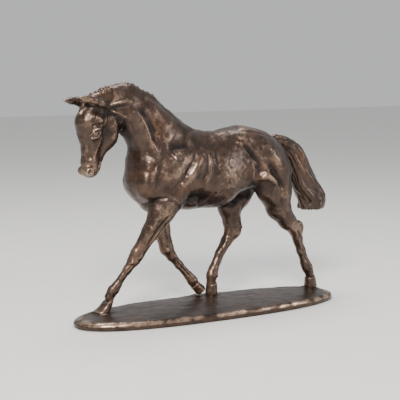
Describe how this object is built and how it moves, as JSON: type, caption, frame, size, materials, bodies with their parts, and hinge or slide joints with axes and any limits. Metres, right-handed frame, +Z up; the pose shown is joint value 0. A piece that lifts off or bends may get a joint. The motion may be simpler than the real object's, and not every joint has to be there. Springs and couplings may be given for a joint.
{
  "type": "bronze horse statue",
  "caption": "Bronze figure of a horse at an extended trot, head turned to its left, with a plaited crest and a held-out tail, on a low oval cast base with a felt pad.",
  "frame": {"origin": "middle of the felt pad's underside, on the surface the statue stands on", "axes": "+Z up, +X from the horse's head to its tail, along the base's length, +Y to the horse's right"},
  "size_m": [0.2653, 0.0877, 0.2061],
  "materials": {
    "bronze": "dark brown patina with rubbed highlights",
    "felt": "matte",
    "pin_brass": "satin",
    "fastener_steel": "satin"
  },
  "bodies": {
    "root": {"base": "bronze", "felt_pad": "felt", "torso": "bronze", "neck": "bronze", "head": "bronze", "tail": "bronze", "left_foreleg": "bronze", "right_foreleg": "bronze", "left_hindleg": "bronze", "right_hindleg": "bronze", "neck_dowels": "pin_brass", "head_dowel": "pin_brass", "tail_dowel": "pin_brass", "foreleg_dowels": "pin_brass", "hindleg_dowels": "pin_brass", "hoof_studs": "fastener_steel", "stud_washers": "fastener_steel", "stud_nuts": "fastener_steel", "core_plugs": "bronze"}
  },
  "joints": []
}
